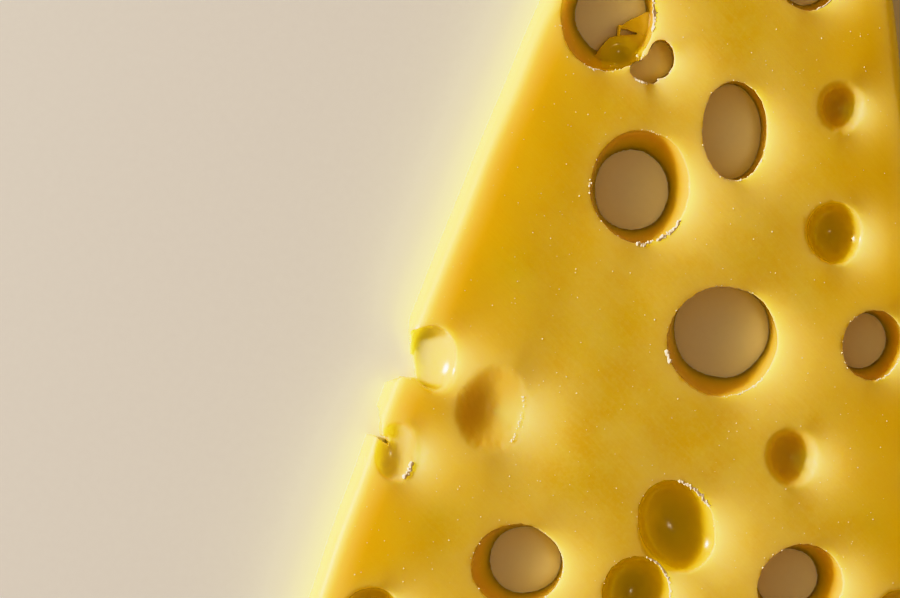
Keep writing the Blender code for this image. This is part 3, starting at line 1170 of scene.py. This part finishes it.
def octasphere() -> tuple[Array, Array]:
    """A round stone of 18 corners and 32 triangles: an octahedron with its faces cut in four."""
    tips = np.array([(1, 0, 0), (0, 1, 0), (-1, 0, 0), (0, -1, 0), (0, 0, 1), (0, 0, -1)], float)
    faces = [(0, 1, 4), (1, 2, 4), (2, 3, 4), (3, 0, 4), (1, 0, 5), (2, 1, 5), (3, 2, 5), (0, 3, 5)]
    corners = list(tips)
    middles: dict[tuple[int, int], int] = {}
    small = []
    for a, b, c in faces:
        cut = []
        for pair in ((a, b), (b, c), (c, a)):
            key = tuple(sorted(pair))
            if key not in middles:
                middle = tips[key[0]] + tips[key[1]]
                middles[key] = len(corners)
                corners.append(middle / np.linalg.norm(middle))
            cut.append(middles[key])
        ab, bc, ca = cut
        small += [(a, ab, ca), (ab, b, bc), (ca, bc, c), (ab, bc, ca)]
    return np.array(corners), np.array(small)


@dataclass(frozen=True)
class CrumbPile:
    """Many small uneven bits of cheese, joined in one mesh."""

    name: str
    seed: int
    roughness: float = 0.28
    flatness: float = 0.45

    def build(self, middles: Array, sizes: Array) -> bpy.types.Object:
        """Makes one bit at each place.

        Each is the round stone, stretched differently along its own axes, with each corner moved a
        little, then turned at random.

        Args:
            middles: n by 3 places in mm.
            sizes: their diameters in mm.

        Returns:
            The mesh object.
        """
        rng = np.random.default_rng(self.seed)
        corners, faces = octasphere()
        many = len(middles)
        stretch = rng.uniform(0.6, 1.3, (many, 1, 3))
        uneven = 1.0 + self.roughness * rng.uniform(-1.0, 1.0, (many, len(corners), 1))
        bits = corners[None] * stretch * uneven * (sizes[:, None, None] / 2)
        turns = np.linalg.qr(rng.normal(size=(many, 3, 3)))[0]
        turns[:, :, 0] *= np.sign(np.linalg.det(turns))[:, None]
        bits = np.einsum("nij,nkj->nki", turns, bits)
        bits[:, :, 2] *= self.flatness
        bits += middles[:, None, :]
        numbers = faces[None] + (np.arange(many) * len(corners))[:, None, None]
        obj = mesh_object(self.name, bits.reshape(-1, 3), numbers.reshape(-1, 3))
        obj.data.shade_smooth()
        return obj


@dataclass(frozen=True)
class Spill:
    """A stretch of an eye's rim that the knife left crumbs on. Angles are degrees from +X."""

    eye: str
    first: float
    last: float
    bits: int
    size: float


SPILLS: tuple[Spill, ...] = (
    Spill("open_centre", -62, -28, 54, 0.46),
    Spill("open_centre", -86, -68, 26, 0.46),
    Spill("open_centre", 70, 100, 12, 0.16),
    Spill("open_centre", 180, 196, 9, 0.22),
    Spill("great", -110, -60, 26, 0.18),
    Spill("great", -8, 26, 44, 0.44),
    Spill("kidney_lower", -150, -60, 22, 0.18),
    Spill("kidney_upper", -60, 60, 18, 0.16),
    Spill("open_lower_right", 196, 212, 24, 0.44),
    Spill("open_lower_right", -80, -20, 40, 0.22),
    Spill("open_right", -80, -10, 28, 0.22),
    Spill("open_bottom", -60, 10, 30, 0.20),
    Spill("left_lower_pit", -62, -22, 34, 0.44),
    Spill("soft_pit", -50, 30, 34, 0.22),
    Spill("egg_pit", 36, 92, 40, 0.34),
    Spill("deep_pit", 0, 84, 40, 0.30),
    Spill("upper_hole", -70, 0, 26, 0.22),
    Spill("tip_hole", -70, 0, 16, 0.20),
    Spill("right_hole", -75, -5, 26, 0.22),
    Spill("rind_hole", -75, -5, 34, 0.24),
)


@dataclass
class TornBits:
    """Loose or lifted bits of the slice: what their kinds share."""

    form: SliceForm
    material: bpy.types.Material

    def dress(self, obj: bpy.types.Object) -> None:
        """Gives the bits their material."""
        own(obj, self.material)


@dataclass
class RimCrumbs(TornBits):
    """The crumbs along the rims of the eyes, thickest where the knife left them."""

    seed: int = 21
    scatter: int = 16
    small: float = 0.17
    spread: tuple[float, float] = (-0.14, 0.16)  # from the rim's line, outwards
    rise: float = 0.04  # of its size, above the top face
    feel: float = 0.22  # how far below a crumb there has to be cheese
    slack: float = 0.12

    def build(self) -> bpy.types.Object:
        """Places the named spills, and a few small bits along every crisp rim."""
        rng = np.random.default_rng(self.seed)
        tracer = RimTracer(self.form)
        middles = []
        sizes = []
        spills = list(SPILLS)
        spills += [
            Spill(name, 0, 360, self.scatter, self.small)
            for name, eye in EYES.items()
            if eye.rim is Rim.CRISP and eye.middle > 1.5
        ]
        for spill in spills:
            angles = np.radians(rng.uniform(spill.first, spill.last, spill.bits))
            line = tracer.trace(EYES[spill.eye], angles)
            outward = np.stack((np.cos(angles), np.sin(angles)), axis=1)
            size = spill.size * rng.uniform(0.45, 1.25, spill.bits) ** 1.3
            plan = line + outward * rng.uniform(*self.spread, spill.bits)[:, None]
            height = self.form.top(np.column_stack((plan, 0 * size))) + size * self.rise
            middles.append(np.column_stack((plan, height)))
            sizes.append(size)
        places = np.concatenate(middles)
        span = np.concatenate(sizes)
        held = self.form(places - np.array([0.0, 0.0, self.feel])) < self.slack
        return CrumbPile("rim_crumbs", self.seed).build(places[held], span[held])


@dataclass
class FaceGlintSpecks(TornBits):
    """Specks no wider than 0.2 mm that lie all over the cut face; their near-white colour paints
    small glints on it.
    """

    seed: int = 22
    tries: int = 2400
    size: float = 0.10
    rise: float = 0.15  # of its size, above the top face
    feel: float = 0.12  # how far below a speck there has to be cheese
    slack: float = -0.08

    def build(self) -> bpy.types.Object:
        """Scatters the specks where there is cheese below them."""
        rng = np.random.default_rng(self.seed)
        low = np.array(CAD_BOX[0])[:2] / MM
        high = np.array(CAD_BOX[1])[:2] / MM
        plan = rng.uniform(low, high, (self.tries, 2))
        size = self.size * rng.uniform(0.5, 1.9, self.tries)
        height = self.form.top(np.column_stack((plan, 0 * size)))
        places = np.column_stack((plan, height))
        held = self.form(places - np.array([0.0, 0.0, self.feel])) < self.slack
        places[:, 2] += size * self.rise
        # Painted highlights: pale specks that read as glints on the cut face.
        return CrumbPile("face_glint_specks", self.seed).build(places[held], size[held])


@dataclass(frozen=True)
class Tear:
    """A stretch of an eye's rim where the knife lifted a ragged lip. Angles are degrees."""

    eye: str
    first: float
    last: float
    width: float
    lift: float
    thickness: float = 0.13


TEARS: tuple[Tear, ...] = (
    Tear("egg_pit", 34, 93, 0.72, 6),
    Tear("deep_pit", 4, 82, 0.46, 6),
    Tear("great", -8, 24, 0.70, 8),
    Tear("great", -108, -84, 0.30, 4),
    Tear("open_centre", -60, -30, 0.40, 8),
    Tear("left_lower_pit", -60, -24, 0.42, 8),
    Tear("kidney_lower", -140, -70, 0.30, 4),
    Tear("open_lower_right", -70, -30, 0.26, 6),
    Tear("rind_hole", -66, -20, 0.40, 8),
    Tear("right_hole", -64, -24, 0.34, 8),
    Tear("upper_hole", -60, -26, 0.30, 8),
)


@dataclass
class TornLips(TornBits):
    """The ragged white lips at the eyes' rims: closed ribbons of lens-shaped section."""

    seed: int = 23
    step: float = 0.06
    bury: float = 0.16
    tooth: float = 0.30
    fewest: int = 10
    smoothing: int = 5
    curl: float = 12.0
    curl_share: float = 0.25

    def section(self) -> tuple[Array, Array]:
        """Around the lens: how far across, from 0 to 1, and how thick, from -1 to 1."""
        across = np.array([0.0, 0.15, 0.5, 0.85, 1.0, 0.85, 0.5, 0.15])
        thick = np.array([0.0, 0.8, 1.0, 0.6, 0.0, -0.6, -1.0, -0.8])
        return across, thick

    def ragged(self, count: int, rng: np.random.Generator) -> Array:
        """A lip's width along its run, as shares of the whole: teeth on a slow swell."""
        teeth = max(3, int(count * self.step / self.tooth))
        knots = rng.uniform(0.25, 1.0, teeth)
        swell = np.interp(np.linspace(0, 1, count), np.linspace(0, 1, 5), rng.uniform(0.5, 1.1, 5))
        jag = np.interp(np.linspace(0, 1, count), np.linspace(0, 1, teeth), knots)
        ends = np.sqrt(np.sin(np.linspace(0.02, math.pi - 0.02, count)))
        return jag * swell * ends

    def ribbon(self, tear: Tear, rng: np.random.Generator) -> tuple[Array, Array]:
        """One lip's corners in mm and faces.

        The lip starts a little inside the cheese, and reaches towards the eye's middle and up by
        its lift, with the width that ragged() gives.

        Args:
            tear: where and how large.
            rng: the random numbers.

        Returns:
            n by 3 places in mm, and m by 4 corner numbers.
        """
        eye = EYES[tear.eye]
        run = math.radians(tear.last - tear.first) * max(eye.width, eye.length) / 2
        count = max(self.fewest, int(run / self.step))
        angles = np.radians(np.linspace(tear.first, tear.last, count))
        line = RimTracer(self.form).trace(eye, angles)
        kernel = np.ones(self.smoothing) / self.smoothing
        extra = self.smoothing // 2
        padded = np.pad(line, ((extra, extra), (0, 0)), mode="edge")
        line = np.stack([np.convolve(padded[:, k], kernel, "valid") for k in range(2)], axis=1)
        outward = np.stack((np.cos(angles), np.sin(angles), 0 * angles), axis=1)
        curl = rng.uniform(-self.curl, self.curl, count).cumsum()
        lift = np.radians(tear.lift + curl * self.curl_share)
        reach = -outward * np.cos(lift)[:, None]
        reach[:, 2] = np.sin(lift)
        normal = outward * np.sin(lift)[:, None]
        normal[:, 2] = np.cos(lift)
        top = self.form.top(np.column_stack((line, 0 * angles)))
        base = np.column_stack((line, top - tear.thickness / 2)) + outward * self.bury
        width = self.bury + tear.width * self.ragged(count, rng)
        across, thick = self.section()
        half = tear.thickness / 2 * np.sqrt(np.sin(np.linspace(0.05, math.pi - 0.05, count)))
        corners = base[:, None, :] + reach[:, None, :] * (width[:, None] * across)[..., None]
        corners = corners + normal[:, None, :] * (half[:, None] * thick)[..., None]
        sides = len(across)
        row = np.arange(count - 1)[:, None] * sides
        here = np.arange(sides)[None, :]
        after = (here + 1) % sides
        quads = np.stack((row + here, row + after, row + sides + after, row + sides + here), axis=-1)
        cap = np.array([(0, 7, 6, 1), (1, 6, 5, 2), (2, 5, 4, 3)])
        far = cap[:, ::-1] + (count - 1) * sides
        faces = np.concatenate((quads.reshape(-1, 4), cap, far))
        return corners.reshape(-1, 3), faces[:, ::-1]

    def build(self) -> bpy.types.Object:
        """Makes all the lips as one mesh."""
        rng = np.random.default_rng(self.seed)
        corners = []
        faces = []
        start = 0
        for tear in TEARS:
            places, numbers = self.ribbon(tear, rng)
            corners.append(places)
            faces.append(numbers + start)
            start += len(places)
        obj = mesh_object("torn_lips", np.concatenate(corners), np.concatenate(faces))
        obj.data.shade_smooth()
        return obj


@dataclass(frozen=True)
class PhotoCamera:
    """The camera, fitted to the slice's left edge in the photograph. Its picture is 900 by 598."""

    aim_mm: tuple[float, float] = (-33.5, -31.9)
    roll: float = math.radians(8.41)
    tilt: float = math.radians(8.0)
    distance_mm: float = 420.0
    lens: float = 120.0
    sensor: float = 36.0

    @property
    def across(self) -> Vector:
        """The picture's left-to-right direction, laid flat."""
        return Vector((math.cos(self.roll), math.sin(self.roll), 0.0))

    @property
    def up(self) -> Vector:
        """The picture's bottom-to-top direction."""
        return Vector((-math.sin(self.roll), math.cos(self.roll), 0.0))

    def place(self) -> bpy.types.Object:
        """Adds the camera: nearly overhead, leaning towards the slice's left side."""
        level = Vector((0.0, 0.0, 1.0))
        right = self.across * math.cos(self.tilt) + level * math.sin(self.tilt)
        back = level * math.cos(self.tilt) - self.across * math.sin(self.tilt)
        top = CAD_BOX[1].z / MM
        eye = Vector((*self.aim_mm, top)) + back * self.distance_mm
        data = bpy.data.cameras.new("photo_camera")
        data.lens = self.lens
        data.sensor_width = self.sensor
        data.clip_start = 0.01
        data.clip_end = 10.0
        camera = bpy.data.objects.new("photo_camera", data)
        turn = Matrix((right, self.up, back)).transposed().to_4x4()
        camera.matrix_world = Matrix.Translation(eye * MM) @ turn
        bpy.context.scene.collection.objects.link(camera)
        bpy.context.scene.camera = camera
        return camera


@dataclass(frozen=True)
class Softbox:
    """One square area light, aimed at the slice."""

    name: str
    azimuth: float
    elevation: float
    distance: float
    size: float
    power: float
    colour: Colour = (1.0, 1.0, 1.0)

    def place(self, aim: Vector, away: Vector, up: Vector) -> bpy.types.Object:
        """Adds the light.

        Args:
            aim: the point it faces, in metres.
            away: the level direction that azimuth 0 lies in.
            up: the level direction that a positive azimuth turns to.

        Returns:
            The light's object.
        """
        flat = away * math.cos(self.azimuth) + up * math.sin(self.azimuth)
        way = flat * math.cos(self.elevation) + Vector((0, 0, math.sin(self.elevation)))
        data = bpy.data.lights.new(self.name, "AREA")
        data.shape = "SQUARE"
        data.size = self.size
        data.energy = self.power
        data.color = self.colour
        light = bpy.data.objects.new(self.name, data)
        turn = way.to_track_quat("Z", "Y").to_matrix().to_4x4()
        light.matrix_world = Matrix.Translation(aim + way * self.distance) @ turn
        bpy.context.scene.collection.objects.link(light)
        return light


@dataclass(frozen=True)
class Studio:
    """The pale floor, the soft lights and the camera."""

    floor_size: float = 3.0
    paper: PaperFinish = PaperFinish()
    sky: Colour = (1.0, 0.60, 0.29)
    sky_strength: float = 0.33
    exposure: float = 0.43
    contrast: float = 0.78
    camera: PhotoCamera = PhotoCamera()
    key: Softbox = Softbox(
        "key", math.radians(14), math.radians(11.5), 1.8, 0.30, 62.0, (1.0, 0.98, 0.91)
    )
    sheen: Softbox = Softbox("sheen", math.radians(199), math.radians(72), 0.9, 0.05, 0.14)

    def build(self) -> None:
        """Adds the floor, the sky's glow, the lights and the camera."""
        half = self.floor_size / 2 / MM
        square = np.array([(-half, -half, 0), (half, -half, 0), (half, half, 0), (-half, half, 0)])
        floor = mesh_object("floor", square, np.array([[0, 1, 2, 3]]))
        floor.data.materials.append(self.paper.material())
        world = bpy.data.worlds.new("studio")
        world.use_nodes = True
        glow = world.node_tree.nodes["Background"]
        glow.inputs["Color"].default_value = (*self.sky, 1.0)
        glow.inputs["Strength"].default_value = self.sky_strength
        bpy.context.scene.world = world
        aim = Vector((*self.camera.aim_mm, 0.0)) * MM
        for light in (self.key, self.sheen):
            light.place(aim, -self.camera.across, self.camera.up)
        self.camera.place()
        view = bpy.context.scene.view_settings
        view.view_transform = "Khronos PBR Neutral"
        view.exposure = self.exposure
        view.gamma = self.contrast


def main() -> None:
    """Builds and dresses the slice, its torn bits, its stage and its light."""
    logging.basicConfig(level=logging.INFO, format="%(name)s: %(message)s")
    form = SliceForm()
    effects = CheeseEffects(form.drag_angle)
    # The crumbs' near-white colour paints light on the crumbs, the specks and the lips alike.
    crumb = CrumbFinish().material(effects)
    parts = (
        CheeseSlice(form, CheeseFinish(), effects),
        RimCrumbs(form, crumb),
        FaceGlintSpecks(form, crumb),
        TornLips(form, crumb),
    )
    for part in parts:
        part.dress(part.build())
    Studio().build()


if __name__ == "__main__":
    main()
